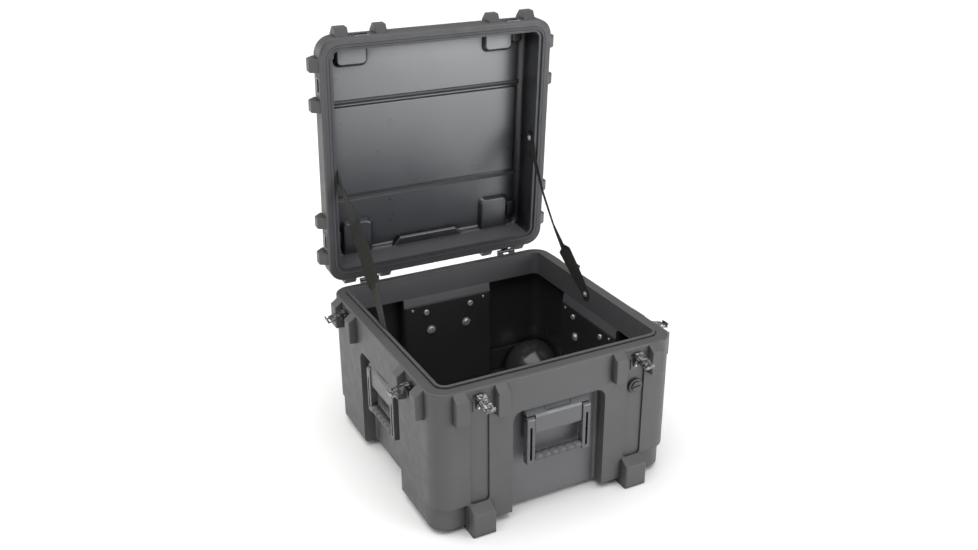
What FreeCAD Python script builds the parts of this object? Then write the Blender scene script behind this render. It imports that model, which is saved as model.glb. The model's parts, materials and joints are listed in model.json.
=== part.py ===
"""Roto-moulded equipment rack case, drawn standing on its feet with the lid open.

Millimetres, +Z up, +X to the right along the front, +Y towards the hinges.
The origin is on the ground, in the middle of the open case's footprint.
Pieces on a face are drawn as if for the front face, with y = 0 on the wall
and the outside at -y, and are then turned onto their own side.
The lid's pieces are drawn closed and then swung open about the hinge axis.
"""
import FreeCAD, Part
import math
import os

V = FreeCAD.Vector

# ---- driving dimensions: base --------------------------------------------
RIM = 376.0                 # height of the rim's raised inner lip
HALF_X = 315.0              # wall faces, left and right
HALF_Y = 318.5              # wall faces, front and back
CORNER_R = 45.0
WALL = 7.0
GROUND_GAP = 14.0           # body bottom above the ground
LIP_X, LIP_Y, LIP_R = 280.0, 282.5, 18.0    # the opening inside the lip
LIP_W = 7.5
LIP_STEP = 4.5              # the shelf outside the lip is this much lower
DECK = 13.0                 # rim thickness at the top
SKIRT_W = 6.0
SKIRT_DEPTH = 64.0          # the inner wall hangs this far below the rim
RECESS_HALF = 122.0
RECESS_DEPTH = 35.0
RECESS_TOP = 92.0           # below the rim
RECESS_R = 25.0
CORNER_STEP_TOP = 300.0     # below the rim, the lower corners are set in
CORNER_STEP_X = 236.0
CORNER_STEP = 13.0
LATCH_X = 205.0             # latches, hinges, channels and feet
CHANNEL_HALF = 24.0
CHANNEL_DEPTH = 4.5
CHANNEL_TOP, CHANNEL_END, POCKET_END = 34.0, 300.0, 66.0
FOOT_HALF, FOOT_OUT, FOOT_IN = 29.0, 26.5, 35.0
FOOT_TOP, FOOT_SHOULDER = 299.0, 315.0
POSTS = ((153.0, 30.0), (253.0, 33.0))      # centre and width along the wall
POST_OUT = 20.0
POST_TOP, POST_SHOULDER, POST_END = 6.0, 21.0, 80.0

# ---- driving dimensions: black inner lining --------------------------------
LINER_T, LINER_FLOOR, LINER_GAP = 2.5, 3.0, 0.3
LINER_TOP = 66.0
PANEL_TOP = 90.0            # lining's lower top edge in front of a recess
BULGE_HALF = RECESS_HALF + WALL
BULGE_DEPTH = RECESS_DEPTH + SKIRT_W
BULGE_TOP = 85.0
MOUND_X, MOUND_Y, MOUND_R = 258.0, 250.0, 86.0      # domes in the floor's corners

# ---- driving dimensions: lid ----------------------------------------------
LID_LIP_X, LID_LIP_Y = 282.0, 286.0
LID_GAP = 0.6               # between the closed rims
COLLAR_H = 38.0
SHOULDER_H = 50.0
ROOF_H = 96.0
ROOF_X, ROOF_Y, ROOF_R = 296.0, 299.5, 42.0
PANEL_H = 89.0
PANEL_X, PANEL_Y, PANEL_R = 285.0, 288.0, 20.0
LID_POST_TOP, LID_POST_SHOULDER, LID_POST_END = 3.0, 16.0, 36.0
LID_POST_ROOT = 52.0
GROOVE_IN, GROOVE_W, GROOVE_H = 291.0, 8.0, 9.0
HINGE_OUT = 8.5             # hinge axis outside the back wall's face
OPEN_DEG = 86.47

# ---- driving dimensions: hardware ------------------------------------------
HANDLE_HALF, HANDLE_TOP, HANDLE_END = 84.0, 100.0, 240.0
BLOCK_END, PLATE_END = 166.0, 184.0
ARM_W, ARM_T, BAIL_PIVOT = 21.0, 19.0, 128.0
GRIP_R, GRIP_RIDGE, GRIP_Z = 11.7, 2.2, 229.0
LEVER_PIVOT = (-9.0, -26.0)                 # y and z from the wall and the rim
LEVER_DROOP = 15.0
LEVER_LEN, LEVER_HALF, LEVER_T, LEVER_LIP = 36.0, 10.0, 1.6, 2.4
LEVER_OFFSET = 5.2
HOOK_AT = 5.5
HOOK_LEN, HOOK_IN, HOOK_T, HOOK_CLEAR = 40.3, 10.0, 1.8, 0.4
EAR_X = 7.2                 # the latch plate's ears stand between the lever's flanges
PIN_R, HOOK_PIN_R = 2.0, 1.8
RUN = 0.05                  # radial running clearance
HANDLE_SCREWS = ((66.0, 110.0), (53.0, 164.0))
STRAP_W, STRAP_T = 34.0, 1.6
STRAP_GAP = 0.3
STRAP_Y, STRAP_Z, STRAP_LID_Y, STRAP_LID_H = 22.0, 26.0, 10.0, 25.0
VALVE_Z = 108.0

# ---- where the open case stands over the origin -----------------------------
OPEN = math.radians(OPEN_DEG)
LEVER_REACH = 55.8          # open levers stand out this far from the front wall
ROOF_REACH = 94.1           # the open lid's roof behind the hinge axis
BODY_Y = (LEVER_REACH - HINGE_OUT - ROOF_REACH) / 2
HINGE_Y = HALF_Y + HINGE_OUT + BODY_Y
SIDES = {"front": (0, HALF_Y), "right": (90, HALF_X), "back": (180, HALF_Y), "left": (270, HALF_X)}


# ---- helpers ----------------------------------------------------------------
def save(shape, node):
    shape.exportStep("parts/" + node + ".step")


def box(x0, x1, y0, y1, z0, z1):
    return Part.makeBox(x1 - x0, y1 - y0, z1 - z0, V(x0, y0, z0))


def mid_box(half_x, y0, y1, z0, z1):
    return box(-half_x, half_x, y0, y1, z0, z1)


def rounded_face(half_x, half_y, radius, z):
    """A rectangle with round corners, level at height z."""
    edges = []
    corners = ((1, 1, 0), (-1, 1, 90), (-1, -1, 180), (1, -1, 270))
    ends = []
    for sx, sy, turn in corners:
        centre = V(sx * (half_x - radius), sy * (half_y - radius), z)
        points = []
        for angle in (turn, turn + 45, turn + 90):
            a = math.radians(angle)
            points.append(centre + V(radius * math.cos(a), radius * math.sin(a), 0))
        edges.append(Part.Arc(*points).toShape())
        ends.append((points[0], points[2]))
    for k in range(4):
        edges.append(Part.LineSegment(ends[k][1], ends[(k + 1) % 4][0]).toShape())
    order = []
    for k in range(4):
        order += [edges[k], edges[4 + k]]
    return Part.Face(Part.Wire(order))


def prism(half_x, half_y, radius, z0, z1):
    return rounded_face(half_x, half_y, radius, z0).extrude(V(0, 0, z1 - z0))


def taper(low, high):
    """A loft between two rounded rectangles, each (half_x, half_y, radius, z)."""
    wires = [rounded_face(*low).OuterWire, rounded_face(*high).OuterWire]
    return Part.makeLoft(wires, True, True)


def ring(outer, inner, z0, z1):
    return prism(*outer, z0, z1).cut(prism(*inner, z0 - 1, z1 + 1))


def slab(points, half_x, at=0.0):
    """A (y, z) outline extruded along x, centred on x = at."""
    start = [V(at - half_x, y, z) for y, z in points]
    face = Part.Face(Part.makePolygon(start + start[:1]))
    return face.extrude(V(2 * half_x, 0, 0))


def rod(radius, a, b):
    a, b = V(*a), V(*b)
    return Part.makeCylinder(radius, (b - a).Length, a, b - a)


def x_rod(radius, x0, x1, y, z):
    return rod(radius, (x0, y, z), (x1, y, z))


def y_rod(radius, x, z, y0, y1):
    return rod(radius, (x, y0, z), (x, y1, z))


def soften(shape, radius, chosen):
    """Round the edges that the test picks by their middle point and direction."""
    edges = []
    for edge in shape.Edges:
        ends = [v.Point for v in edge.Vertexes]
        run = (ends[-1] - ends[0]) if len(ends) > 1 else V(0, 0, 0)
        if chosen(edge.CenterOfMass, run):
            edges.append(edge)
    return shape.makeFillet(radius, edges)


def fuse(shapes):
    joined = shapes[0].multiFuse(shapes[1:]) if len(shapes) > 1 else shapes[0]
    return joined.removeSplitter()


def drop(shape):
    """The piece drawn about the rim's height comes to its place on the case."""
    return shape.translated(V(0, BODY_Y, RIM))


def on_side(shape, side, along=0.0):
    """Turn a piece drawn on the front wall onto a side, shifted along it."""
    angle, reach = SIDES[side]
    moved = shape.translated(V(along, -reach, 0))
    return moved.rotated(V(0, 0, 0), V(0, 0, 1), angle)


def swing_open(shape):
    """The closed lid's piece, drawn about the rim's height, in its open place."""
    closed = drop(shape)
    return closed.rotated(V(0, HINGE_Y, RIM), V(1, 0, 0), -OPEN_DEG)


def pan_head(radius, height):
    """A domed screw head on y = 0, its top towards -y, with a cross recess."""
    head = Part.makeCylinder(radius, height, V(0, 0, 0), V(0, -1, 0))
    head = soften(head, height * 0.6, lambda c, run: c.y < -height * 0.9)
    for long_x, long_z in ((radius * 0.45, 0.5), (0.5, radius * 0.45)):
        head = head.cut(box(-long_x, long_x, -height - 1, -height * 0.45, -long_z, long_z))
    return head


def turned(shape, angle, about=(0, 0)):
    """Turn a piece about an x-wise line at y, z."""
    return shape.rotated(V(0, about[0], about[1]), V(1, 0, 0), angle)


# ---- base shell ---------------------------------------------------------------
def recess_tool(depth, half, top, bottom, radius):
    """The hand recess on the front wall: round top corners, round inner edges."""
    tool = box(-half, half, -60, depth, bottom, top)
    tool = soften(tool, radius, lambda c, run: abs(run.y) > 1 and abs(c.x) > 1 and c.z > top - 1)
    return soften(tool, 7.0, lambda c, run: c.y > depth - 1 and c.z > bottom + 1)


def post(width, top, shoulder, end, root_end):
    """A wall post with a wedge top; all its outer edges are round."""
    outline = [(6, -top), (0, -top), (-POST_OUT, -shoulder), (-POST_OUT, -end), (0, -root_end), (6, -root_end)]
    solid = slab(outline, width / 2)
    return soften(solid, 3.0, lambda c, run: c.y < -1 and abs(c.z + top) > 0.1)


def foot():
    """Stacking foot: a wedge-topped block on the wall that runs a little way under the floor."""
    floor_z, wall_y = GROUND_GAP - RIM + 2, WALL + CORNER_STEP - 5
    outline = [(-FOOT_OUT, -RIM), (FOOT_IN, -RIM), (FOOT_IN, floor_z), (wall_y, floor_z),
               (wall_y, -FOOT_TOP), (0, -FOOT_TOP), (-FOOT_OUT, -FOOT_SHOULDER)]
    solid = slab(outline, FOOT_HALF)
    return soften(solid, 5.0, lambda c, run: c.y < -1)


def bulge(extra, z_top, z_bottom, half=BULGE_HALF):
    """The inward side of a recess, grown by extra all round."""
    depth = BULGE_DEPTH + extra
    solid = box(-half - extra, half + extra, -30, depth, z_bottom, z_top)
    return soften(solid, 9.0, lambda c, run: abs(run.z) > 1 and c.y > 0)


def slope_strip():
    """The inner wall leans in from the skirt's foot to the recess's inner face."""
    skirt_in = HALF_Y - LIP_Y
    outline = [(skirt_in, -SKIRT_DEPTH + 4), (skirt_in - SKIRT_W, -SKIRT_DEPTH + 4),
               (BULGE_DEPTH - SKIRT_W, -BULGE_TOP), (BULGE_DEPTH, -BULGE_TOP - 3),
               (skirt_in, -SKIRT_DEPTH)]
    return slab(outline, BULGE_HALF)


def body_blank():
    bottom, shelf = GROUND_GAP - RIM, -LIP_STEP
    block = prism(HALF_X, HALF_Y, CORNER_R, bottom, shelf)
    block = soften(block, 11.0, lambda c, run: c.z < bottom + 1)
    block = soften(block, 4.0, lambda c, run: c.z > shelf - 1)
    step_top = -CORNER_STEP_TOP
    keep = prism(HALF_X, HALF_Y - CORNER_STEP, CORNER_R, bottom - 5, step_top + 5)
    keep = soften(keep, 10.0, lambda c, run: c.z > step_top + 4)
    for sx in (-1, 1):
        for sy in (-1, 1):
            x0, x1 = sorted((sx * CORNER_STEP_X, sx * (HALF_X + 20)))
            y0, y1 = sorted((sy * (HALF_Y - 60), sy * (HALF_Y + 20)))
            block = block.cut(box(x0, x1, y0, y1, bottom - 4, step_top).cut(keep))
    for side in SIDES:
        block = block.cut(on_side(recess_tool(RECESS_DEPTH, RECESS_HALF, -RECESS_TOP, bottom - 5, RECESS_R), side))
    return block


def base_cavity():
    floor_z = GROUND_GAP - RIM + WALL
    x, y, r = HALF_X - WALL, HALF_Y - WALL, CORNER_R - WALL
    tier = -CORNER_STEP_TOP + WALL
    high = prism(x, y, r, tier, -DECK)
    low = prism(x, y - CORNER_STEP, r, floor_z, tier + 1)
    cavity = fuse([high, low])
    for side in SIDES:
        cavity = cavity.cut(on_side(bulge(0.0, -BULGE_TOP, floor_z - 5), side))
    return cavity


def channel(side):
    """The long channel below a front latch, or the short pocket of a side latch."""
    end = CHANNEL_END if side == "front" else POCKET_END
    tool = mid_box(CHANNEL_HALF, -10, CHANNEL_DEPTH, -end, -CHANNEL_TOP)
    return soften(tool, 8.0, lambda c, run: abs(run.y) > 1 and c.z < -end + 1)


def base_shell():
    shell = body_blank().cut(base_cavity())
    lip = ring((LIP_X + LIP_W, LIP_Y + LIP_W, LIP_R + LIP_W), (LIP_X, LIP_Y, LIP_R), -DECK, 0)
    lip = soften(lip, 1.5, lambda c, run: c.z > -0.1)
    skirt = ring((LIP_X + SKIRT_W, LIP_Y + SKIRT_W, LIP_R + SKIRT_W), (LIP_X, LIP_Y, LIP_R),
                 -SKIRT_DEPTH, -DECK + 1)
    shell = shell.cut(prism(LIP_X, LIP_Y, LIP_R, -DECK - 1, 1))
    bead_in = (LIP_X + LIP_W, LIP_Y + LIP_W, LIP_R + LIP_W)
    bead_out = (LIP_X + LIP_W + 3, LIP_Y + LIP_W + 3, LIP_R + LIP_W + 3)
    shell = shell.cut(ring(bead_out, bead_in, -LIP_STEP - 2, -LIP_STEP + 1))
    pieces = [shell, lip, skirt]
    for side in SIDES:
        pieces.append(on_side(slope_strip().translated(V(0, side_shift(side), 0)), side))
        for centre, width in POSTS:
            for sign in (-1, 1):
                pieces.append(on_side(post(width, POST_TOP, POST_SHOULDER, POST_END, POST_END + 1), side,
                                      sign * centre))
    for side in ("front", "back"):
        for sign in (-1, 1):
            pieces.append(on_side(foot(), side, sign * LATCH_X))
    shell = fuse(pieces)
    for side, sign in latch_places():
        shell = shell.cut(on_side(channel(side), side, sign * LATCH_X))
    for side in SIDES:
        for x, z in HANDLE_SCREWS:
            for sign in (-1, 1):
                shell = shell.cut(on_side(y_rod(3.2, sign * x, -z, 20, 60), side))
    return shell


def side_shift(side):
    """The side walls' skirt is one millimetre nearer its wall than the front's."""
    return 0.0 if side in ("front", "back") else (HALF_X - LIP_X) - (HALF_Y - LIP_Y)


def latch_places():
    return [(side, sign) for side in ("front", "left", "right") for sign in (-1, 1)]


# ---- black lining ----------------------------------------------------------------
def lining_form(inset, floor_z, top_z):
    x, y, r = HALF_X - WALL - inset, HALF_Y - WALL - inset, CORNER_R - WALL - inset
    tier = -CORNER_STEP_TOP + WALL + inset
    form = fuse([prism(x, y, r, tier, top_z), prism(x, y - CORNER_STEP, r, floor_z, tier + 1)])
    for side in SIDES:
        form = form.cut(on_side(bulge(inset, 10, floor_z - 5), side))
    return form


def base_liner():
    floor_z = GROUND_GAP - RIM + WALL
    outer = lining_form(LINER_GAP, floor_z, -LINER_TOP)
    inner = lining_form(LINER_GAP + LINER_T, floor_z + LINER_FLOOR, -LINER_TOP + 1)
    liner = outer.cut(inner)
    mounds, hollows = [], []
    for sx in (-1, 1):
        for sy in (-1, 1):
            centre = V(sx * MOUND_X, sy * MOUND_Y, floor_z)
            mounds.append(Part.makeSphere(MOUND_R, centre).common(inner))
            hollows.append(Part.makeSphere(MOUND_R - LINER_T, centre))
    liner = fuse([liner] + mounds).cut(fuse(hollows))
    notch = mid_box(BULGE_HALF + 1, -20, BULGE_DEPTH + 6, -PANEL_TOP, 0)
    for side in SIDES:
        liner = liner.cut(on_side(notch, side))
        for x, z in HANDLE_SCREWS:
            for sign in (-1, 1):
                liner = liner.cut(on_side(y_rod(3.2, sign * x, -z, 20, 60), side))
    return liner


PANEL_FACE = BULGE_DEPTH + LINER_GAP + LINER_T   # lining's inner face at a recess


def liner_rivets():
    rivets = []
    for side in SIDES:
        for sign in (-1, 1):
            head = Part.makeCylinder(3.6, 1.6, V(0, 0, 0), V(0, 1, 0))
            head = soften(head, 1.0, lambda c, run: c.y > 1.5)
            rivets.append(on_side(head.translated(V(sign * 106, PANEL_FACE, -98)), side))
    return Part.makeCompound(rivets)


# ---- drop handles ------------------------------------------------------------------
def handle_mount():
    """Back plate and a raised block whose sloping top edge has a blank tab outlined on it."""
    top, end = -HANDLE_TOP, -BLOCK_END
    back = mid_box(HANDLE_HALF - 4, 28, RECESS_DEPTH, -PLATE_END, top)
    back = soften(back, 6.0, lambda c, run: abs(run.y) > 1)
    outline = [(28, end), (6, end), (4, end + 4), (4, top - 22), (6.5, top - 16), (18, top), (28, top)]
    block = slab(outline, HANDLE_HALF - ARM_W - 2)
    hollow = slab([(22, end - 4), (9, end - 4), (9, top - 24), (20, top - 8), (22, top - 8)],
                  HANDLE_HALF - ARM_W - 16)
    cap = slab([(28, top - 16), (6.5, top - 16), (18, top), (28, top)], HANDLE_HALF - 1)
    cap = soften(cap, 2.0, lambda c, run: c.z > top - 1 and abs(run.x) > 1 and c.y < 19)
    mount = fuse([back, block, cap]).cut(hollow)
    tab = mid_box(35.5, -5, 25, top - 13, top + 2)
    tab = soften(tab, 5.0, lambda c, run: abs(run.y) > 1 and c.z < top - 12)
    tab = tab.cut(mid_box(34, -6, 26, top - 11.4, top + 3))
    skin = slab([(0, top - 16), (8.1, top - 16), (20.3, top + 1), (0, top + 1)], 40)
    mount = mount.cut(tab.common(skin))
    for sign in (-1, 1):
        mount = mount.cut(x_rod(3.0, sign * (HANDLE_HALF - ARM_W - 15), sign * HANDLE_HALF, 10, -BAIL_PIVOT))
        for x, z in HANDLE_SCREWS:
            mount = mount.cut(y_rod(3.0, sign * x, -z, 26.5 if z > 150 else 22, 40))
    return mount


def handle_bail():
    arms = []
    inner = HANDLE_HALF - ARM_W
    for sign in (-1, 1):
        x0, x1 = sorted((sign * inner, sign * HANDLE_HALF))
        arm = box(x0, x1, 10 - ARM_T / 2, 10 + ARM_T / 2, -HANDLE_END, -BAIL_PIVOT)
        arm = fuse([arm, x_rod(ARM_T / 2, x0, x1, 10, -BAIL_PIVOT)])
        arm = soften(arm, 2.0, lambda c, run: abs(run.z) > 20)
        x2, x3 = sorted((sign * (inner + 8), sign * (inner + 14)))
        slot = box(x2, x3, -5, 12, -HANDLE_END + 9, -BAIL_PIVOT - 16)
        arms.append(arm.cut(slot).cut(x_rod(3.0 + RUN, x0 - 1, x1 + 1, 10, -BAIL_PIVOT)))
    arms.append(x_rod(5.5, -inner - 1, inner + 1, 10, -GRIP_Z))
    return fuse(arms)


def handle_grip():
    """Soft sleeve with six finger ridges, turned about the bail's core bar."""
    half, ridges, base = HANDLE_HALF - ARM_W - 0.5, 6, GRIP_R - GRIP_RIDGE
    pitch = 2 * half / ridges
    edges = []
    for k in range(ridges):
        x0 = -half + k * pitch
        a, b = V(x0, base, 0), V(x0 + pitch, base, 0)
        edges.append(Part.Arc(a, V(x0 + pitch / 2, GRIP_R, 0), b).toShape())
    ends = [V(half, 5.5, 0), V(-half, 5.5, 0)]
    edges.append(Part.LineSegment(V(half, base, 0), ends[0]).toShape())
    edges.append(Part.LineSegment(ends[0], ends[1]).toShape())
    edges.append(Part.LineSegment(ends[1], V(-half, base, 0)).toShape())
    face = Part.Face(Part.Wire(edges))
    sleeve = face.revolve(V(0, 0, 0), V(1, 0, 0), 360)
    return sleeve.translated(V(0, 10, -GRIP_Z))


def handle_pins():
    pins = []
    for side in SIDES:
        for sign in (-1, 1):
            ends = sorted((sign * (HANDLE_HALF - ARM_W - 15), sign * (HANDLE_HALF - 3)))
            pins.append(on_side(x_rod(3.0, ends[0], ends[1], 10, -BAIL_PIVOT), side))
    return Part.makeCompound(pins)


def handle_screws():
    screws = []
    for side in SIDES:
        for x, z in HANDLE_SCREWS:
            wide = z > 150
            seat = PANEL_FACE + (1.6 if wide else 0.0)
            head = pan_head(8.0, 3.8).rotated(V(0, 0, 0), V(0, 0, 1), 180)
            tip = 26.5 if wide else 22.0
            screw = fuse([head, y_rod(2.95, 0, 0, tip - seat, 1)])
            for sign in (-1, 1):
                screws.append(on_side(screw.translated(V(sign * x, seat, -z)), side))
    return Part.makeCompound(screws)


def handle_washers():
    washers = []
    x, z = HANDLE_SCREWS[1]
    for side in SIDES:
        for sign in (-1, 1):
            disc = y_rod(12.0, 0, 0, 0, 1.6).cut(y_rod(2.96, 0, 0, -1, 3))
            washers.append(on_side(disc.translated(V(sign * x, PANEL_FACE, -z)), side))
    return Part.makeCompound(washers)


# ---- draw latches --------------------------------------------------------------------
def latch_base():
    """Riveted plate in the channel with two ears that hold the lever's pin."""
    py, pz = LEVER_PIVOT
    back = mid_box(14, CHANNEL_DEPTH - 2.2, CHANNEL_DEPTH, -63, -CHANNEL_TOP - 1)
    pieces = [back]
    for sign in (-1, 1):
        x = sign * EAR_X
        web = slab([(CHANNEL_DEPTH - 1, -60), (CHANNEL_DEPTH - 1, -36), (-0.2, -35), (-0.2, pz + 4.5),
                    (py, pz + 4.5), (py - 3.2, pz - 3.2)], 1.0, x)
        eye = x_rod(4.5, x - 1, x + 1, py, pz)
        pieces += [web, eye]
    pieces.append(mid_box(14.5, -2.0, -0.2, pz - 4, pz + 4.5))
    base = fuse(pieces)
    return base.cut(x_rod(PIN_R, -20, 20, py, pz))


def latch_lever():
    """Pressed lever: plate, two side flanges, a stamped rib and a rolled lip."""
    half, low = LEVER_HALF, LEVER_OFFSET
    top = low + LEVER_T
    sheet = mid_box(half, -LEVER_LEN, 5, low, top)
    stamped = mid_box(3.0, -29, -11, top - 0.8, top + 1)
    pieces = [sheet.cut(stamped)]
    for sign in (-1, 1):
        x = sign * (half - LEVER_T / 2)
        flange = slab([(5, top), (-27, top), (-23, 1), (-9, -4), (0, -4), (5, -2)], LEVER_T / 2, x)
        pieces.append(flange)
    pieces.append(x_rod(LEVER_LIP, -half, half, -LEVER_LEN, top - LEVER_LIP))
    lever = fuse(pieces)
    lever = lever.cut(x_rod(PIN_R + RUN, -20, 20, 0, 0)).cut(x_rod(HOOK_PIN_R, -20, 20, -HOOK_AT, 0))
    placed = turned(lever, LEVER_DROOP)
    return placed.translated(V(0, *LEVER_PIVOT))


def hook_pivot():
    droop = math.radians(LEVER_DROOP)
    return (LEVER_PIVOT[0] - HOOK_AT * math.cos(droop), LEVER_PIVOT[1] - HOOK_AT * math.sin(droop))


def latch_hook():
    """Draw hook folded out in line with the lever: two arms, a crossbar and an upturned claw."""
    inner = LEVER_HALF + HOOK_CLEAR
    outer = inner + HOOK_T
    root, far = -HOOK_AT, -HOOK_AT - HOOK_LEN
    pieces = []
    for sign in (-1, 1):
        x = sign * (inner + outer) / 2
        arm = slab([(root, 3.5), (root, -3.5), (far, -1), (far, 1)], HOOK_T / 2, x)
        pieces += [arm, x_rod(3.5, x - HOOK_T / 2, x + HOOK_T / 2, root, 0)]
    pieces.append(mid_box(outer, far, far + 5, -1, 1))
    pieces.append(mid_box(outer - 1, far, far + 2.8, -1, HOOK_IN))
    hook = fuse(pieces).cut(x_rod(HOOK_PIN_R + RUN, -20, 20, root, 0))
    return turned(hook, LEVER_DROOP).translated(V(0, *LEVER_PIVOT))


def latch_hook_pin():
    """Two short rivets that hold the hook's arms to the outside of the lever's flanges."""
    stubs = []
    for sign in (-1, 1):
        x0, x1 = sorted((sign * (LEVER_HALF - 1.5), sign * (LEVER_HALF + 3.0)))
        stubs.append(x_rod(HOOK_PIN_R, x0, x1, *hook_pivot()))
    return Part.makeCompound(stubs)


def latch_pins():
    pins = []
    for side, sign in latch_places():
        pins.append(on_side(x_rod(PIN_R, -LEVER_HALF - 0.2, LEVER_HALF + 0.2, *LEVER_PIVOT), side,
                            sign * LATCH_X))
    return Part.makeCompound(pins)


def latch_rivets():
    rivets = []
    for side, sign in latch_places():
        for z in (-42, -56):
            head = Part.makeCylinder(2.6, 1.4, V(0, CHANNEL_DEPTH - 2.2, z), V(0, -1, 0))
            head = soften(head, 0.9, lambda c, run: c.y < CHANNEL_DEPTH - 3.5)
            rivets.append(on_side(head, side, sign * LATCH_X))
    return Part.makeCompound(rivets)


# ---- lid -------------------------------------------------------------------------------
def lid_post(width):
    outline = [(6, LID_POST_TOP), (0, LID_POST_TOP), (-POST_OUT, LID_POST_SHOULDER),
               (-POST_OUT, LID_POST_END), (0, LID_POST_ROOT), (6, LID_POST_ROOT - 12)]
    solid = slab(outline, width / 2)
    return soften(solid, 3.0, lambda c, run: c.y < -1 and c.z > LID_POST_TOP + 0.1)


def relief(half_x, half_y, radius, height, draft, x, y):
    """A raised island on the closed lid's inner panel, with drafted sides and a round top edge."""
    top = PANEL_H - height
    island = taper((half_x, half_y, radius, top), (half_x + draft, half_y + draft, radius + draft / 2, PANEL_H + 3))
    island = soften(island, 3.5, lambda c, run: c.z < top + 0.1)
    return island.translated(V(x, y, 0))


def corner_relief(sx, front):
    """The island behind a foot pocket, cut off inside the lid's end wall."""
    near, far = (-PANEL_Y - 14, -HALF_Y + 90) if front else (HALF_Y - 120, PANEL_Y + 14)
    island = relief(38, (far - near) / 2, 12, 12, 9, sx * LATCH_X, (near + far) / 2)
    return island.common(mid_box(320, -PANEL_Y - 5, PANEL_Y + 5, PANEL_H - 20, PANEL_H + 3))


def lid_shell():
    rim_z = -LIP_STEP + LID_GAP
    collar = prism(HALF_X, HALF_Y, CORNER_R, rim_z, COLLAR_H)
    collar = soften(collar, 4.0, lambda c, run: c.z < rim_z + 0.1)
    shoulder = taper((HALF_X, HALF_Y, CORNER_R, COLLAR_H), (ROOF_X + 2, ROOF_Y + 2, ROOF_R, SHOULDER_H))
    roof = taper((ROOF_X + 2, ROOF_Y + 2, ROOF_R, SHOULDER_H), (ROOF_X, ROOF_Y, ROOF_R, ROOF_H))
    roof = soften(roof, 10.0, lambda c, run: c.z > ROOF_H - 0.1)
    lid = fuse([collar, shoulder, roof])
    for centre, width in POSTS:
        for sign in (-1, 1):
            for side in SIDES:
                lid = lid.fuse(on_side(lid_post(width), side, sign * centre))
    for side in ("front", "back"):
        for sign in (-1, 1):
            pocket = mid_box(33, -5, 86, ROOF_H - 9, ROOF_H + 5)
            pocket = soften(pocket, 10.0, lambda c, run: abs(run.z) > 1 and c.y > 80)
            lid = lid.cut(on_side(pocket, side, sign * LATCH_X))
    band = mid_box(250, -121, 121, ROOF_H - 4, ROOF_H + 1)
    band = soften(band, 12.0, lambda c, run: abs(run.z) > 1)
    lid = lid.cut(band)
    hollow = taper((LID_LIP_X + 2, LID_LIP_Y + 1, LIP_R, 10), (PANEL_X, PANEL_Y, PANEL_R, PANEL_H))
    hollow = soften(hollow, 15.0, lambda c, run: c.z > PANEL_H - 0.1)
    throat = prism(LID_LIP_X, LID_LIP_Y, LIP_R, rim_z - 1, 11)
    side_pocket = ring((HALF_X - WALL, HALF_Y - WALL, CORNER_R - WALL),
                       (LID_LIP_X + 8, LID_LIP_Y + 8, LIP_R + 8), 12, COLLAR_H - 3)
    lid = lid.cut(fuse([hollow, throat]))
    lid = lid.cut(side_pocket.common(mid_box(400, -400, 400, 12, COLLAR_H)).cut(lid_ribs()))
    bosses = []
    for sign in (-1, 1):
        bosses += [corner_relief(sign, True), corner_relief(sign, False)]
        bosses.append(relief(12, 20, 8, 7, 4, sign * 262, 238))
        bosses.append(relief(14, 22, 8, 7, 4, sign * 262, -264))
    bosses += [strap_pad(-1), strap_pad(1), middle_band()]
    bosses.append(hinge_ledge())
    lid = fuse([lid] + bosses)
    for y in (-131, 131):
        lid = lid.cut(groove_tool(y))
    lip_cut = ring((HALF_X + 20, HALF_Y + 20, CORNER_R + 20), (LID_LIP_X + 7, LID_LIP_Y + 7, LIP_R + 7),
                   rim_z - 1, rim_z)
    throat_trim = ring((LID_LIP_X + 8.5, LID_LIP_Y + 4.8, LIP_R + 5), (LID_LIP_X - 5, LID_LIP_Y - 5, LIP_R - 5),
                       rim_z - 1, LID_GAP)
    groove = ring((GROOVE_IN + GROOVE_W, GROOVE_IN + GROOVE_W + 2.5, LIP_R + 19),
                  (GROOVE_IN, GROOVE_IN + 2.5, LIP_R + 11), rim_z - 1, GROOVE_H)
    lid = lid.cut(lip_cut).cut(throat_trim).cut(groove)
    for side, sign in latch_places():
        slot = mid_box(17, -5, 7, 5.5, 18)
        lid = lid.cut(on_side(slot, side, sign * LATCH_X))
    return lid


def lid_ribs():
    """Solid parts of the collar behind the keepers and posts, between its hollows."""
    ribs = []
    for side in SIDES:
        for sign in (-1, 1):
            ribs.append(on_side(mid_box(70, -5, 40, 0, COLLAR_H), side, sign * LATCH_X))
    return fuse(ribs)


def middle_band():
    return relief(264, 119, 6, 4, 4, 0, 0)


def groove_tool(y):
    """A moulded groove across the lid's inner panel."""
    outline = [(y - 7, PANEL_H - 1), (y - 2, PANEL_H + 4), (y + 2, PANEL_H + 4), (y + 7, PANEL_H - 1)]
    return slab(outline, PANEL_X - 8)


def hinge_ledge():
    """Low trapezoid step on the panel beside the hinges."""
    wall_y = PANEL_Y + 3
    low = [V(-110, wall_y, 0), V(110, wall_y, 0), V(84, wall_y - 30, 0), V(-84, wall_y - 30, 0)]
    face = Part.Face(Part.makePolygon(low + low[:1]))
    step = face.extrude(V(0, 0, 16)).translated(V(0, 0, PANEL_H - 13))
    return soften(step, 6.0, lambda c, run: c.z < PANEL_H - 12.9 and c.y < wall_y - 1)


def lid_gasket():
    return ring((GROOVE_IN + GROOVE_W - 0.8, GROOVE_IN + GROOVE_W + 1.7, LIP_R + 18),
                (GROOVE_IN + 0.8, GROOVE_IN + 3.3, LIP_R + 12), -LIP_STEP + 0.8, GROOVE_H)


def lid_keepers():
    keepers = []
    for side, sign in latch_places():
        frame = mid_box(21, -1.5, 0, 1.5, 27)
        frame = soften(frame, 2.5, lambda c, run: abs(run.y) > 1)
        frame = frame.cut(mid_box(17, -3, 2, 5.5, 18))
        keepers.append(on_side(frame, side, sign * LATCH_X))
    return Part.makeCompound(keepers)


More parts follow.
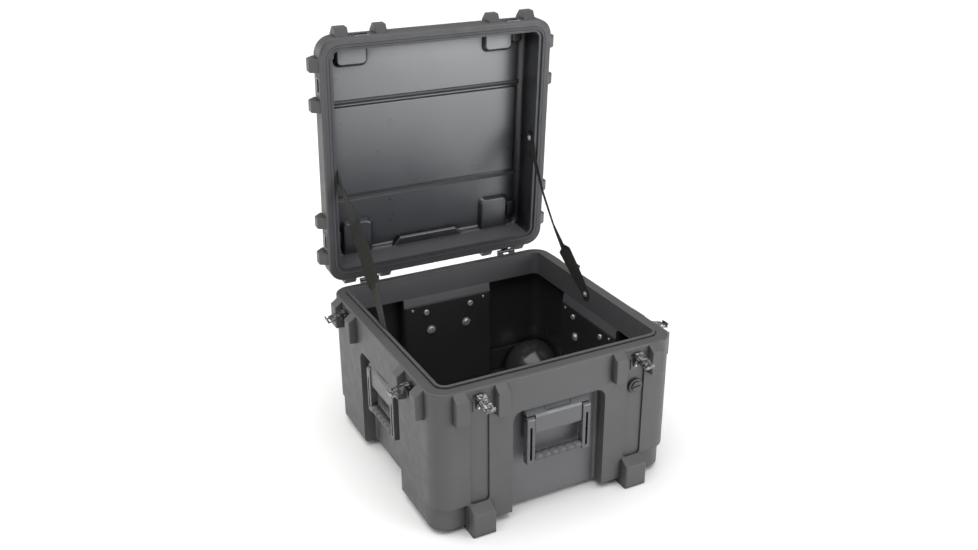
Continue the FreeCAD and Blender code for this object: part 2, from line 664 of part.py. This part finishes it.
# ---- hinges ----------------------------------------------------------------------------
def knuckles(spans):
    rolls = [x_rod(5.0, x0, x1, -HINGE_OUT, 0) for x0, x1 in spans]
    return rolls


def hinge_base_leaf():
    leaf = mid_box(26, -2.5, 0, -60, -9)
    leaf = soften(leaf, 5.0, lambda c, run: abs(run.y) > 1 and c.z < -50)
    pieces = [leaf] + knuckles(((-26, -10), (10, 26)))
    for x in (-18, 18):
        web = [(0, -26), (0, -9), (-5, -3.6), (-HINGE_OUT, -1), (-12.2, -3.5), (-11, -8)]
        pieces.append(slab(web, 8, x))
    leaf = fuse(pieces).cut(x_rod(2.5, -30, 30, -HINGE_OUT, 0))
    return leaf


def hinge_lid_leaf():
    leaf = mid_box(22, -2.5, 0, 9, 46)
    leaf = soften(leaf, 5.0, lambda c, run: abs(run.y) > 1 and c.z > 40)
    web = [(0, 26), (0, 9), (-5, 3.6), (-HINGE_OUT, 1), (-12.2, 3.5), (-11, 8)]
    pieces = [leaf, slab(web, 9.5)] + knuckles(((-9.5, 9.5),))
    return fuse(pieces).cut(x_rod(2.5 + RUN, -30, 30, -HINGE_OUT, 0))


def hinge_pins():
    return Part.makeCompound([on_side(x_rod(2.5, -27, 27, -HINGE_OUT, 0), "back", sign * LATCH_X)
                              for sign in (-1, 1)])


def hinge_screws(z_rows):
    screws = []
    for sign in (-1, 1):
        for x in (-14, 14):
            for z in z_rows:
                screw = pan_head(4.0, 2.2).translated(V(x, -2.5, z))
                screws.append(on_side(screw, "back", sign * LATCH_X))
    return Part.makeCompound(screws)


# ---- lid straps --------------------------------------------------------------------------
def strap_ends():
    """The strap's two screw points on the outer face of its right-hand webbing."""
    base = V(LIP_X - STRAP_GAP, STRAP_Y + BODY_Y, RIM - STRAP_Z)
    dy, dz = STRAP_LID_Y + BODY_Y - HINGE_Y, STRAP_LID_H
    lid_y = HINGE_Y + dy * math.cos(OPEN) + dz * math.sin(OPEN)
    lid_z = RIM - dy * math.sin(OPEN) + dz * math.cos(OPEN)
    return base, V(LID_LIP_X - STRAP_GAP, lid_y, lid_z)


def mirrored(shape, sign):
    return shape if sign > 0 else shape.mirror(V(0, 0, 0), V(1, 0, 0))


def strap(sign):
    """Webbing drawn along the line between its screws, with two slack folds."""
    base, lid = strap_ends()
    run = lid - base
    length = run.Length
    sag = (0.0, 0.0, 10.0, 6.0, 0.0, 0.0)
    along = (-15.0, 20.0, length * 0.3, length * 0.62, length - 20.0, length + 15.0)
    outer = [V(a, s, 0) for a, s in zip(along, sag)]
    inner = [V(a, s + STRAP_T, 0) for a, s in zip(along, sag)]
    face = Part.Face(Part.makePolygon(outer + inner[::-1] + outer[:1]))
    web = face.extrude(V(0, 0, STRAP_W)).translated(V(0, 0, -STRAP_W / 2))
    for at in (0.0, length):
        web = web.cut(rod(3.2, (at, -5, 0), (at, 5, 0)))
    up = run.normalize()
    across = up.cross(V(-1, 0, 0)).normalize()
    inward = across.cross(up)
    rows = [(up[k], inward[k], across[k], base[k]) for k in range(3)]
    matrix = FreeCAD.Matrix(*rows[0], *rows[1], *rows[2], 0, 0, 0, 1)
    return mirrored(web.transformGeometry(matrix), sign)


def wall_screw(sign, point):
    """Pan head, washer and shank through the strap, pointing inwards."""
    clear = STRAP_T + 0.4
    disc = Part.makeCylinder(8.0, 1.2, V(0, -clear, 0), V(0, -1, 0))
    head = pan_head(5.0, 3.0).translated(V(0, -clear - 1.2, 0))
    shank = Part.makeCylinder(2.5, clear + STRAP_GAP, V(0, STRAP_GAP, 0), V(0, -1, 0))
    screw = fuse([disc, head, shank]).rotated(V(0, 0, 0), V(0, 0, 1), -90)
    return mirrored(screw.translated(point), sign)


def strap_screws(point):
    return Part.makeCompound([wall_screw(sign, point) for sign in (-1, 1)])


def strap_pad(sign):
    """Round pad on the closed lid's side wall that the strap's end lies on."""
    x0, x1 = sorted((sign * LID_LIP_X, sign * (PANEL_X + 2)))
    return x_rod(13.0, x0, x1, STRAP_LID_Y, STRAP_LID_H)


# ---- pressure valve ------------------------------------------------------------------------
def valve_body():
    ring_out = y_rod(18.5, 0, 0, -3.5, CHANNEL_DEPTH)
    ring_out = soften(ring_out, 1.5, lambda c, run: c.y < -3.4)
    return ring_out.cut(y_rod(13.4, 0, 0, -10, 0.5)).cut(y_rod(4.05, 0, 0, -10, 3.5)).translated(V(0, 0, -VALVE_Z))


def valve_knob():
    knob = y_rod(13.0, 0, 0, -7.5, 0.1)
    knob = soften(knob, 1.8, lambda c, run: c.y < -7.4)
    for k in range(10):
        a = math.radians(36 * k)
        knob = knob.cut(y_rod(1.6, 14 * math.cos(a), 14 * math.sin(a), -10, -2))
    grip = mid_box(10, -10.5, -7, -2.2, 2.2)
    stem = y_rod(4.0, 0, 0, 0, 3.4)
    return fuse([knob, grip, stem]).translated(V(0, 0, -VALVE_Z))


# ---- writing the nodes -------------------------------------------------------------------
def main():
    os.makedirs("parts", exist_ok=True)
    save(drop(base_shell()), "base_shell")
    save(drop(base_liner()), "base_liner")
    save(drop(liner_rivets()), "liner_rivets")
    for side in SIDES:
        save(drop(on_side(handle_mount(), side)), "handle_mount_" + side)
        save(drop(on_side(handle_bail(), side)), "handle_bail_" + side)
        save(drop(on_side(handle_grip(), side)), "handle_grip_" + side)
    save(drop(handle_pins()), "handle_pins")
    save(drop(handle_screws()), "handle_screws")
    save(drop(handle_washers()), "handle_washers")
    for side, sign in latch_places():
        name = side + ("_a" if sign < 0 else "_b")
        save(drop(on_side(latch_base(), side, sign * LATCH_X)), "latch_base_" + name)
        save(drop(on_side(latch_lever(), side, sign * LATCH_X)), "latch_lever_" + name)
        save(drop(on_side(latch_hook(), side, sign * LATCH_X)), "latch_hook_" + name)
        save(drop(on_side(latch_hook_pin(), side, sign * LATCH_X)), "latch_hook_pin_" + name)
    save(drop(latch_pins()), "latch_pins")
    save(drop(latch_rivets()), "latch_rivets")
    save(swing_open(lid_shell()), "lid_shell")
    save(swing_open(lid_gasket()), "lid_gasket")
    save(swing_open(lid_keepers()), "lid_keepers")
    for sign, name in ((1, "left"), (-1, "right")):
        save(drop(on_side(hinge_base_leaf(), "back", sign * LATCH_X)), "hinge_base_leaf_" + name)
        save(swing_open(on_side(hinge_lid_leaf(), "back", sign * LATCH_X)), "hinge_lid_leaf_" + name)
    save(drop(hinge_pins()), "hinge_pins")
    save(drop(hinge_screws((-33, -51))), "hinge_screws_base")
    save(swing_open(hinge_screws((20, 38))), "hinge_screws_lid")
    save(strap(-1), "strap_left")
    save(strap(1), "strap_right")
    save(strap_screws(strap_ends()[0]), "strap_screws_base")
    save(strap_screws(strap_ends()[1]), "strap_screws_lid")
    save(drop(on_side(valve_body(), "front", LATCH_X)), "valve_body")
    save(drop(on_side(valve_knob(), "front", LATCH_X)), "valve_knob")


main()
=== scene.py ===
"""Looks for the open equipment rack case: camera, light, materials, webbing and small trim.

Everything stands in the row frame, in metres: +Z up, +X right along the front, +Y to the hinges.
"""
import json
import math

import bpy
import bmesh
from mathutils import Euler, Matrix, Vector


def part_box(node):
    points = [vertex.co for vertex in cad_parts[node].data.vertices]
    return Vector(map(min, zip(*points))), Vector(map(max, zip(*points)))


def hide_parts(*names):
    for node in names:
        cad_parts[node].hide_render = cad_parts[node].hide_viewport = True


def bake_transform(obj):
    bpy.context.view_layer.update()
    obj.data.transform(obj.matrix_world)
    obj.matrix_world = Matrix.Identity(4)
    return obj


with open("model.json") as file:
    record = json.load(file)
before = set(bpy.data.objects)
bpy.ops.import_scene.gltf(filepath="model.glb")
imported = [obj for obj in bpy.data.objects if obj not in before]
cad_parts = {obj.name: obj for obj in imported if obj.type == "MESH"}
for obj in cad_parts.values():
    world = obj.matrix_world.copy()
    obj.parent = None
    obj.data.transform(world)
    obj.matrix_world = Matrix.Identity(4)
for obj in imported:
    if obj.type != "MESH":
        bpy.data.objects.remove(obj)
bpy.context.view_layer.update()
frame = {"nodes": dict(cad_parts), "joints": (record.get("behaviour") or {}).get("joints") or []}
nodes = frame["nodes"]
joints = {j["name"]: j for j in frame["joints"]}
hinge = Vector(joints["lid_hinge"]["pos_m"])
open_angle = math.radians(joints["lid_hinge"]["range_deg"][1])
rim_z = hinge.z
body_y = (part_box("handle_grip_front")[0].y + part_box("handle_grip_back")[1].y) / 2


# ---- node helpers -------------------------------------------------------------
class Shader:
    """A node material with its Principled shader and short ways to add nodes."""

    def __init__(self, name, colour, roughness, metallic=0.0, specular=0.5):
        self.mat = bpy.data.materials.new(name)
        self.mat.use_nodes = True
        self.tree = self.mat.node_tree
        self.bsdf = self.tree.nodes["Principled BSDF"]
        self.set("Base Color", (*colour, 1.0))
        self.set("Roughness", roughness)
        self.set("Metallic", metallic)
        self.set("Specular IOR Level", specular)

    def set(self, socket, value):
        self.bsdf.inputs[socket].default_value = value

    def node(self, kind, **settings):
        made = self.tree.nodes.new(kind)
        for key, value in settings.items():
            setattr(made, key, value)
        return made

    def link(self, a, b):
        self.tree.links.new(a, b)

    def place(self, scale=(1, 1, 1), source="Object"):
        """Object (or UV) coordinates stretched by scale."""
        coords = self.node("ShaderNodeTexCoord")
        mapping = self.node("ShaderNodeMapping")
        mapping.inputs["Scale"].default_value = scale
        self.link(coords.outputs[source], mapping.inputs["Vector"])
        return mapping.outputs["Vector"]

    def noise(self, vector, scale, detail=3.0, rough=0.5):
        made = self.node("ShaderNodeTexNoise")
        made.inputs["Scale"].default_value = scale
        made.inputs["Detail"].default_value = detail
        made.inputs["Roughness"].default_value = rough
        self.link(vector, made.inputs["Vector"])
        return made.outputs["Fac"]

    def span(self, value, low, high, to_low=0.0, to_high=1.0):
        made = self.node("ShaderNodeMapRange")
        made.interpolation_type = "SMOOTHSTEP"
        ends = {"From Min": low, "From Max": high, "To Min": to_low, "To Max": to_high}
        for name, number in ends.items():
            made.inputs[name].default_value = number
        self.link(value, made.inputs["Value"])
        return made.outputs["Result"]

    def math(self, kind, a, b):
        made = self.node("ShaderNodeMath", operation=kind)
        for k, value in enumerate((a, b)):
            if isinstance(value, (int, float)):
                made.inputs[k].default_value = value
            else:
                self.link(value, made.inputs[k])
        return made.outputs["Value"]

    def mix(self, factor, a, b):
        made = self.node("ShaderNodeMix", data_type="RGBA")
        self.link(factor, made.inputs[0])
        for k, value in ((6, a), (7, b)):
            if isinstance(value, tuple):
                made.inputs[k].default_value = (*value, 1.0)
            else:
                self.link(value, made.inputs[k])
        return made.outputs[2]

    def tint(self, factor, base, colour):
        made = self.node("ShaderNodeMix", data_type="RGBA", blend_type="MULTIPLY")
        self.link(factor, made.inputs[0])
        self.link(base, made.inputs[6])
        made.inputs[7].default_value = (*colour, 1.0)
        return made.outputs[2]

    def blend_value(self, factor, a, b):
        made = self.node("ShaderNodeMix", data_type="FLOAT")
        self.link(factor, made.inputs[0])
        self.link(a, made.inputs[2])
        self.link(b, made.inputs[3])
        return made.outputs[0]

    def open_to_air(self, distance):
        """Near 0 in a crevice and 1 on an open surface."""
        made = self.node("ShaderNodeAmbientOcclusion", samples=8)
        made.inputs["Distance"].default_value = distance
        return made.outputs["AO"]

    def colour(self, output):
        self.link(output, self.bsdf.inputs["Base Color"])

    def rough(self, output):
        self.link(output, self.bsdf.inputs["Roughness"])

    def bump(self, height, strength, distance, over=None):
        made = self.node("ShaderNodeBump")
        made.inputs["Strength"].default_value = strength
        made.inputs["Distance"].default_value = distance
        self.link(height, made.inputs["Height"])
        if over is not None:
            self.link(over, made.inputs["Normal"])
        self.link(made.outputs["Normal"], self.bsdf.inputs["Normal"])
        return made.outputs["Normal"]

    def moved(self, vector, shift, turn=0.0):
        """The point turned about X and then shifted."""
        made = self.node("ShaderNodeMapping")
        made.inputs["Location"].default_value = shift
        made.inputs["Rotation"].default_value = (turn, 0.0, 0.0)
        self.link(vector, made.inputs["Vector"])
        return made.outputs["Vector"]


def shade(colour, k):
    return tuple(c * k for c in colour)


# ---- materials ------------------------------------------------------------------
PLASTIC = (0.072, 0.072, 0.074)
# painted light: the base's inner skirt and the lid's wall beside the hinges are painted this many times
# paler
INNER_WALL_PAINTED_LIGHT = (1.55, 1.55, 1.60)
# painted shade: the lid's mating rim is painted darker and bluer by this factor
RIM_PAINTED_SHADE = (0.70, 0.71, 0.77)
LATCH_X = 0.205
SKIRT_X, SKIRT_Y = 0.2835, 0.2865           # just outside the base's opening
RIM_X, RIM_Y = 0.310, 0.3135                # just inside the shell's outer walls
LID_HALF_X, LID_HALF_Y = 0.2853, 0.2885     # the lid's hollow
LID_HINGE_WALL = 0.2840                     # just short of the hollow's wall beside the hinges
LID_CEILING = 0.0905                        # just over the inner panel, from the hinge axis
POCKET_HALF, POCKET_START, POCKET_DROP = 0.034, 0.231, 0.0055   # islands under the foot pockets


def moulded(name, colour, roughness, grain=0.25, scuffs=0.5, specular=0.5):
    """Roto-moulded plastic: cloudy tone, fine grain, faint flow marks, rubbed scuffs and painted shade in
    crevices.
    """
    s = Shader(name, colour, roughness, specular=specular)
    where = s.place()
    cloud = s.noise(where, 7.0, 4.0)
    base = s.mix(s.span(cloud, 0.3, 0.7), shade(colour, 0.97), shade(colour, 1.03))
    scratch = s.noise(s.place((14, 14, 160)), 3.0, 6.0, 0.7)
    patch = s.noise(where, 11.0, 2.0)
    rubbed = s.math("MULTIPLY", s.span(scratch, 0.62, 0.72), s.span(patch, 0.52, 0.68))
    rubbed = s.math("MULTIPLY", rubbed, scuffs)
    worn = s.mix(rubbed, base, shade(colour, 1.7))
    # painted shade: the colour darkens to 0.40 of its tone in crevices, from ambient occlusion
    s.colour(s.mix(s.span(s.open_to_air(0.02), 0.30, 0.95), shade(colour, 0.40), worn))
    sheen = s.noise(where, 34.0, 3.0)
    s.rough(s.span(sheen, 0.25, 0.75, roughness - 0.05, roughness + 0.07))
    fine = s.noise(where, 1400.0, 2.0, 0.6)
    waves = s.noise(where, 22.0, 2.0)
    first = s.bump(waves, 0.10, 0.004)
    s.bump(fine, grain, 0.0002, first)
    return s


def metal(name, colour, roughness, mottled=0.0, brushed=0.35, metallic=1.0):
    """Plated sheet steel: drawn grain, cloudy plating, small dents and dull spots."""
    s = Shader(name, colour, roughness, metallic=metallic)
    where = s.place()
    drawn = s.noise(s.place((900, 60, 60)), 1.0, 4.0, 0.6)
    cloud = s.noise(where, 110.0, 2.0)
    dark = 0.80 - 0.75 * mottled
    s.colour(s.mix(s.span(cloud, 0.42, 0.62), shade(colour, dark), colour))
    s.rough(s.span(drawn, 0.2, 0.8, roughness - 0.08, roughness + 0.16))
    first = s.bump(drawn, brushed, 0.00012)
    if mottled:
        dents = s.noise(where, 160.0, 1.0)
        s.bump(s.span(dents, 0.35, 0.65), mottled, 0.0008, first)
    return s


def lid_material():
    """The shell's plastic outside; a darker, bluish, glossy skin inside with painted shade in its
    crevices; painted shade darkening the mating rim; painted light making the wall beside the hinges
    paler.

    The masks are boxes about the case's middle, with the lid shut and heights from the hinge axis.
    """
    s = moulded("lid_plastic", shade(PLASTIC, 1.02), 0.46)
    place = s.place()
    shut = s.moved(s.moved(place, tuple(-hinge)), (0.0, hinge.y - body_y, 0.0), open_angle)
    parts = s.node("ShaderNodeSeparateXYZ")
    s.link(shut, parts.inputs["Vector"])
    height = parts.outputs["Z"]
    across = s.math("ABSOLUTE", parts.outputs["X"], 0.0)
    length = s.math("ABSOLUTE", parts.outputs["Y"], 0.0)
    short_of_wall = s.span(parts.outputs["Y"], LID_HINGE_WALL, LID_HINGE_WALL + 0.0015, 1.0, 0.0)
    inside = s.span(across, LID_HALF_X, LID_HALF_X + 0.0005, 1.0, 0.0)
    inside = s.math("MULTIPLY", inside, s.span(length, LID_HALF_Y, LID_HALF_Y + 0.0005, 1.0, 0.0))
    inside = s.math("MULTIPLY", inside, s.span(height, 0.004, 0.006))
    aside = s.math("SUBTRACT", across, LATCH_X)
    pocket = s.math("LESS_THAN", s.math("ABSOLUTE", aside, 0.0), POCKET_HALF)
    pocket = s.math("MULTIPLY", pocket, s.math("GREATER_THAN", length, POCKET_START))
    ceiling = s.math("SUBTRACT", LID_CEILING, s.math("MULTIPLY", pocket, POCKET_DROP))
    inside = s.math("MULTIPLY", inside, s.math("LESS_THAN", height, ceiling))
    # painted light: the lid's wall beside the hinges keeps the outer plastic, painted paler
    hinge_wall_light_mask = s.math("MULTIPLY", inside, s.math("SUBTRACT", 1.0, short_of_wall))
    inside = s.math("MULTIPLY", inside, short_of_wall)
    # painted shade: the mating rim's face is painted darker
    rim_shade_mask = s.math("LESS_THAN", height, 0.001)
    rim_shade_mask = s.math("MULTIPLY", rim_shade_mask, s.math("LESS_THAN", across, RIM_X))
    rim_shade_mask = s.math("MULTIPLY", rim_shade_mask, s.math("LESS_THAN", length, RIM_Y))
    outer = s.bsdf.inputs["Base Color"].links[0].from_socket
    outer = s.tint(rim_shade_mask, outer, RIM_PAINTED_SHADE)
    outer = s.tint(hinge_wall_light_mask, outer, INNER_WALL_PAINTED_LIGHT)
    cloud = s.span(s.noise(place, 5.0, 3.0), 0.3, 0.7)
    inner = s.mix(cloud, (0.034, 0.037, 0.044), (0.041, 0.044, 0.052))
    lines = s.noise(s.place((30, 30, 420)), 2.0, 5.0, 0.7)
    lines = s.math("MULTIPLY", s.span(lines, 0.64, 0.70), 0.35)
    inner = s.mix(lines, inner, (0.12, 0.12, 0.13))
    # painted shade: the inner skin darkens towards near black in crevices and around the islands
    shaded = s.span(s.open_to_air(0.06), 0.62, 0.97)
    inner = s.mix(shaded, (0.010, 0.010, 0.012), inner)
    s.colour(s.mix(inside, outer, inner))
    worn = s.bsdf.inputs["Roughness"].links[0].from_socket
    glossy = s.span(s.noise(place, 16.0, 3.0), 0.25, 0.75, 0.27, 0.35)
    s.rough(s.blend_value(inside, worn, glossy))
    # painted shade: the coat fades where the skin is painted as shaded
    s.link(s.math("MULTIPLY", inside, shaded), s.bsdf.inputs["Coat Weight"])
    s.set("Coat IOR", 1.68)
    s.set("Coat Roughness", 0.3)
    return s


def body_material():
    """The shell's plastic, with painted light making the inner skirt paler.

    The mask is a box with no lower end, so the painted light makes the hand recesses' floors and the
    underside paler too.
    """
    s = moulded("body_plastic", PLASTIC, 0.48)
    parts = s.node("ShaderNodeSeparateXYZ")
    s.link(s.moved(s.place(), (0.0, -body_y, 0.0)), parts.inputs["Vector"])
    # painted light: the inner skirt, inside this box and below the rim, is painted paler
    skirt_light_mask = s.math("LESS_THAN", s.math("ABSOLUTE", parts.outputs["X"], 0.0), SKIRT_X)
    along = s.math("LESS_THAN", s.math("ABSOLUTE", parts.outputs["Y"], 0.0), SKIRT_Y)
    skirt_light_mask = s.math("MULTIPLY", skirt_light_mask, along)
    below_rim = s.span(parts.outputs["Z"], rim_z - 0.004, rim_z - 0.002, 1.0, 0.0)
    skirt_light_mask = s.math("MULTIPLY", skirt_light_mask, below_rim)
    outer = s.bsdf.inputs["Base Color"].links[0].from_socket
    s.colour(s.tint(skirt_light_mask, outer, INNER_WALL_PAINTED_LIGHT))
    return s


body_plastic = body_material()
lid_plastic = lid_material()
lining = moulded("lining_plastic", (0.035, 0.035, 0.036), 0.18, grain=0.02, scuffs=0.1, specular=0.6)
handle_plastic = moulded("handle_plastic", (0.078, 0.079, 0.083), 0.34, grain=0.3, specular=0.7)
grip_rubber = moulded("grip_rubber", (0.070, 0.070, 0.074), 0.42, grain=0.4, scuffs=0.2)
valve_plastic = moulded("valve_plastic", (0.060, 0.060, 0.063), 0.38)
bail_paint = moulded("bail_paint", (0.075, 0.075, 0.079), 0.30, grain=0.4, specular=0.7)
gasket = moulded("gasket_rubber", (0.060, 0.060, 0.068), 0.6, grain=0.6, scuffs=0.0)
nickel = metal("nickel_steel", (0.36, 0.355, 0.345), 0.27, mottled=0.6)
dark_plate = metal("dark_plate", (0.13, 0.13, 0.14), 0.40)
keeper_steel = metal("keeper_steel", (0.22, 0.22, 0.23), 0.40)
hinge_steel = metal("hinge_steel", (0.11, 0.11, 0.12), 0.36)
zinc = metal("zinc_screws", (0.74, 0.75, 0.77), 0.30, brushed=0.2, metallic=0.6)


def webbing_material():
    """Woven strap: two-way yarns in relief with a slightly uneven dye and painted shade between the yarns.
    """
    s = Shader("webbing", (0.030, 0.031, 0.026), 0.85, specular=0.2)
    where = s.place((1, 1, 1), "UV")
    across = s.node("ShaderNodeTexWave", wave_type="BANDS", bands_direction="X")
    across.inputs["Scale"].default_value = 3.8
    along = s.node("ShaderNodeTexWave", wave_type="BANDS", bands_direction="Y")
    along.inputs["Scale"].default_value = 9.0
    for wave in (across, along):
        wave.inputs["Distortion"].default_value = 0.4
        wave.inputs["Detail"].default_value = 1.0
        s.link(where, wave.inputs["Vector"])
    weave = s.math("MULTIPLY", across.outputs["Fac"], along.outputs["Fac"])
    dye = s.noise(where, 3.0, 3.0)
    base = s.mix(s.span(dye, 0.3, 0.7), (0.024, 0.024, 0.019), (0.036, 0.036, 0.030))
    # painted shade: the weave's low parts are painted darker, at 0.45 of the strap's colour
    s.colour(s.mix(s.span(weave, 0.1, 0.8), shade((0.03, 0.031, 0.026), 0.45), base))
    s.bump(weave, 0.7, 0.0006)
    s.set("Sheen Weight", 0.12)
    s.set("Sheen Roughness", 0.5)
    return s


webbing = webbing_material()

finishes = {
    "base_shell": body_plastic, "lid_shell": lid_plastic, "base_liner": lining,
    "handle_mount": handle_plastic, "handle_bail": bail_paint, "handle_grip": grip_rubber,
    "handle_pins": dark_plate, "handle_screws": zinc, "handle_washers": zinc, "liner_rivets": zinc,
    "latch_base": dark_plate, "latch_lever": nickel, "latch_hook": nickel, "latch_pins": zinc,
    "latch_rivets": zinc, "lid_gasket": gasket, "lid_keepers": keeper_steel,
    "hinge_base_leaf": hinge_steel, "hinge_lid_leaf": hinge_steel, "hinge_pins": zinc,
    "hinge_screws": zinc, "strap_screws": zinc, "strap_left": webbing, "strap_right": webbing,
    "valve": valve_plastic,
}
for name, piece in nodes.items():
    key = max((k for k in finishes if name.startswith(k)), key=len)
    piece.data.materials.clear()
    piece.data.materials.append(finishes[key].mat)


# ---- straps ---------------------------------------------------------------------
STRAP_WIDTH = 0.034
STRAP_THICK = 0.0016
STRAP_ROWS = 132
# share of the way from the base screw to the lid screw, the webbing's turn in degrees,
# how far it stands in from the wall and how far it hangs below the straight line (mm)
STRAP_SHAPES = {
    "left": ((-0.04, 0, 0, 0), (0.05, 0, 0, 0), (0.19, 8, 5, 1), (0.29, 18, 8, 2), (0.31, 40, 9, 2),
             (0.50, 44, 10, 2), (0.655, 40, 8, 2), (0.675, 24, 8, 1), (0.86, -12, 4, 0), (0.95, 0, 0, 0),
             (1.04, 0, 0, 0)),
    "right": ((-0.04, 0, 0, 0), (0.05, 2, 0, 1), (0.14, 16, 2, 7), (0.29, 30, 5, 17), (0.315, -14, 6, 19),
              (0.45, -24, 8, 23), (0.65, -22, 7, 20), (0.86, -14, 3, 9), (0.95, 0, 0, 3), (1.04, 0, 0, 0)),
}


def between(table, t):
    """Straight-line values of a table of rows (t, a, b, ...) at t."""
    for low, high in zip(table, table[1:]):
        if t <= high[0]:
            share = (t - low[0]) / (high[0] - low[0])
            return [u + (v - u) * share for u, v in zip(low[1:], high[1:])]
    return list(table[-1][1:])


def screw_point(node, sign):
    """Centre of a strap screw, on the wall it goes into."""
    low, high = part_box(node)
    inset = 0.0003 + STRAP_THICK / 2
    return Vector((sign * (high.x - inset), (low.y + high.y) / 2, (low.z + high.z) / 2))


def make_strap(side, sign):
    start, end = screw_point("strap_screws_base", sign), screw_point("strap_screws_lid", sign)
    run = end - start
    length = run.length
    along = run.normalized()
    flat = along.cross(Vector((sign, 0, 0))).normalized()
    normal = along.cross(flat)
    if normal.x * sign > 0:
        normal = -normal
    below = flat if flat.z < 0 else -flat
    reach = STRAP_WIDTH / 2
    mesh = bmesh.new()
    uv = mesh.loops.layers.uv.new("weave")
    rows, marks = [], []
    cells = 4
    for k in range(STRAP_ROWS + 1):
        s = -reach + (length + 2 * reach) * k / STRAP_ROWS
        turn, inward, sag = between(STRAP_SHAPES[side], s / length)
        centre = start + along * s + normal * (inward / 1000) + below * (sag / 1000)
        spin = Matrix.Rotation(math.radians(turn), 3, along)
        wide, thick = spin @ flat, spin @ normal
        edge = min(s + reach, length + reach - s)
        half = reach * math.sqrt(max(0.02, 1 - max(0.0, 1 - edge / reach) ** 2))
        row = []
        for face in (-1, 1):
            for c in range(cells + 1):
                across = face * (2 * c / cells - 1)
                cup = 0.0012 * (1 - across * across) * min(1.0, abs(turn) / 20)
                off = thick * (face * STRAP_THICK / 2 + cup)
                row.append(mesh.verts.new(centre + wide * (across * half) + off))
        rows.append(row)
        marks.append((s / STRAP_WIDTH, half / reach))
    ring = 2 * (cells + 1)
    for k in range(STRAP_ROWS):
        for c in range(ring):
            d = (c + 1) % ring
            face = mesh.faces.new((rows[k][c], rows[k][d], rows[k + 1][d], rows[k + 1][c]))
            u = [(c % (cells + 1)) / cells, (d % (cells + 1)) / cells]
            for loop, (at, v) in zip(face.loops, ((0, k), (1, k), (1, k + 1), (0, k + 1))):
                loop[uv].uv = ((u[at] - 0.5) * marks[v][1] + 0.5, marks[v][0])
    mesh.faces.new(rows[0][::-1])
    mesh.faces.new(rows[-1])
    bmesh.ops.recalc_face_normals(mesh, faces=mesh.faces)
    data = bpy.data.meshes.new("strap_webbing_" + side)
    mesh.to_mesh(data)
    piece = bpy.data.objects.new("strap_webbing_" + side, data)
    bpy.context.scene.collection.objects.link(piece)
    data.materials.append(webbing.mat)
    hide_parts("strap_" + side)
    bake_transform(piece)


make_strap("left", -1)
make_strap("right", 1)


# ---- floor, light and camera -------------------------------------------------------
def make_floor():
    bpy.ops.mesh.primitive_plane_add(size=900.0, location=(0, 0, 0))
    floor = bpy.context.object
    floor.name = "floor"
    s = Shader("floor_paint", (0.95, 0.95, 0.95), 0.9, specular=0.1)
    floor.data.materials.append(s.mat)


def area_light(name, place, aim, size, power, colour=(1, 1, 1)):
    data = bpy.data.lights.new(name, "AREA")
    data.shape = "RECTANGLE"
    data.size, data.size_y = size
    data.energy = power
    data.color = colour
    lamp = bpy.data.objects.new(name, data)
    lamp.location = place
    lamp.rotation_euler = (Vector(aim) - Vector(place)).to_track_quat("-Z", "Y").to_euler()
    bpy.context.scene.collection.objects.link(lamp)


def make_light():
    world = bpy.data.worlds.new("studio")
    bpy.context.scene.world = world
    world.use_nodes = True
    sky = world.node_tree.nodes["Background"]
    sky.inputs["Color"].default_value = (1.0, 1.0, 1.0, 1.0)
    coords = world.node_tree.nodes.new("ShaderNodeTexCoord")
    parts = world.node_tree.nodes.new("ShaderNodeSeparateXYZ")
    glow = world.node_tree.nodes.new("ShaderNodeMapRange")
    for name, number in (("From Min", 0.06), ("From Max", 0.16), ("To Min", 1.15), ("To Max", 0.26)):
        glow.inputs[name].default_value = number
    world.node_tree.links.new(coords.outputs["Generated"], parts.inputs["Vector"])
    world.node_tree.links.new(parts.outputs["Z"], glow.inputs["Value"])
    world.node_tree.links.new(glow.outputs["Result"], sky.inputs["Strength"])
    ceiling = bpy.data.lights.new("ceiling", "SUN")
    ceiling.energy = 2.9
    ceiling.angle = math.radians(75)
    lamp = bpy.data.objects.new("ceiling", ceiling)
    lamp.rotation_euler = (math.radians(4), math.radians(-6), 0)
    bpy.context.scene.collection.objects.link(lamp)
    area_light("key", (-2.5, 2.3, 1.7), (0, 0, 0.35), (1.5, 1.5), 26.0, (1.0, 0.95, 0.89))
    area_light("front", (1.6, -2.6, 0.62), (0.0, 0.2, 0.40), (1.6, 1.5), 42.0, (0.97, 0.985, 1.0))


def make_camera():
    data = bpy.data.cameras.new("camera")
    data.lens = 37.77
    data.sensor_width = 36.0
    data.sensor_fit = "HORIZONTAL"
    camera = bpy.data.objects.new("camera", data)
    camera.location = (-1.066, -2.032 + body_y, 1.099 + rim_z)
    turn = Euler((math.radians(90 - 23.65), 0, math.radians(-27.31))).to_matrix()
    roll = Matrix.Rotation(math.radians(-0.14), 3, "Z")
    camera.rotation_euler = (turn @ roll).to_euler()
    bpy.context.scene.collection.objects.link(camera)
    bpy.context.scene.camera = camera


make_floor()
make_light()
make_camera()
scene = bpy.context.scene
scene.view_settings.view_transform = "Standard"
scene.view_settings.look = "None"
